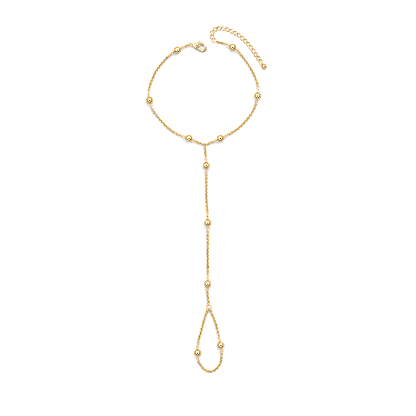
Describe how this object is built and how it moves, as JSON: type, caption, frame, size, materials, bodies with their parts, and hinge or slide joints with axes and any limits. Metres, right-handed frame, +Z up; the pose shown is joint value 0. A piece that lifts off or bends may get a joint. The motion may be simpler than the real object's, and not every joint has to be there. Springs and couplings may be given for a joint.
{
  "type": "hand chain bracelet",
  "caption": "Fine hand chain bracelet with polished balls along its chains, a lobster clasp, an extender with an end ball, and a loop for a finger, lying flat and unfastened.",
  "frame": {"origin": "centre of the bracelet's footprint, on the surface that it lies on", "axes": "+X across the hand, +Y from the finger loop towards the wrist loop, +Z up from the surface"},
  "size_m": [0.0679, 0.195, 0.004],
  "materials": {
    "chain_gold": "polished yellow gold plating",
    "ball_gold": "mirror polished yellow gold plating",
    "clasp_gold": "polished cast metal with yellow gold plating"
  },
  "bodies": {
    "bracelet": {"wrist_chain_left": "chain_gold", "wrist_chain_right": "chain_gold", "hand_chain": "chain_gold", "finger_chain": "chain_gold", "extender_chain": "chain_gold", "station_bead_1": "ball_gold", "station_bead_2": "ball_gold", "station_bead_3": "ball_gold", "station_bead_4": "ball_gold", "station_bead_5": "ball_gold", "station_bead_6": "ball_gold", "station_bead_7": "ball_gold", "station_bead_8": "ball_gold", "station_bead_9": "ball_gold", "station_bead_10": "ball_gold", "station_bead_11": "ball_gold", "end_ball": "ball_gold", "centre_ring": "chain_gold", "finger_ring": "chain_gold", "clasp_body": "clasp_gold", "clasp_rivet": "clasp_gold"},
    "clasp_lever": {"clasp_lever": "clasp_gold"}
  },
  "joints": [
    {"name": "lever_hinge", "type": "hinge", "parent": "bracelet", "child": "clasp_lever", "pos_m": [-0.00592, 0.08553, 0.00105], "axis": [0, 0, -1], "range_deg": [0, 14], "stiffness_Nm_per_rad": 0.01}
  ]
}
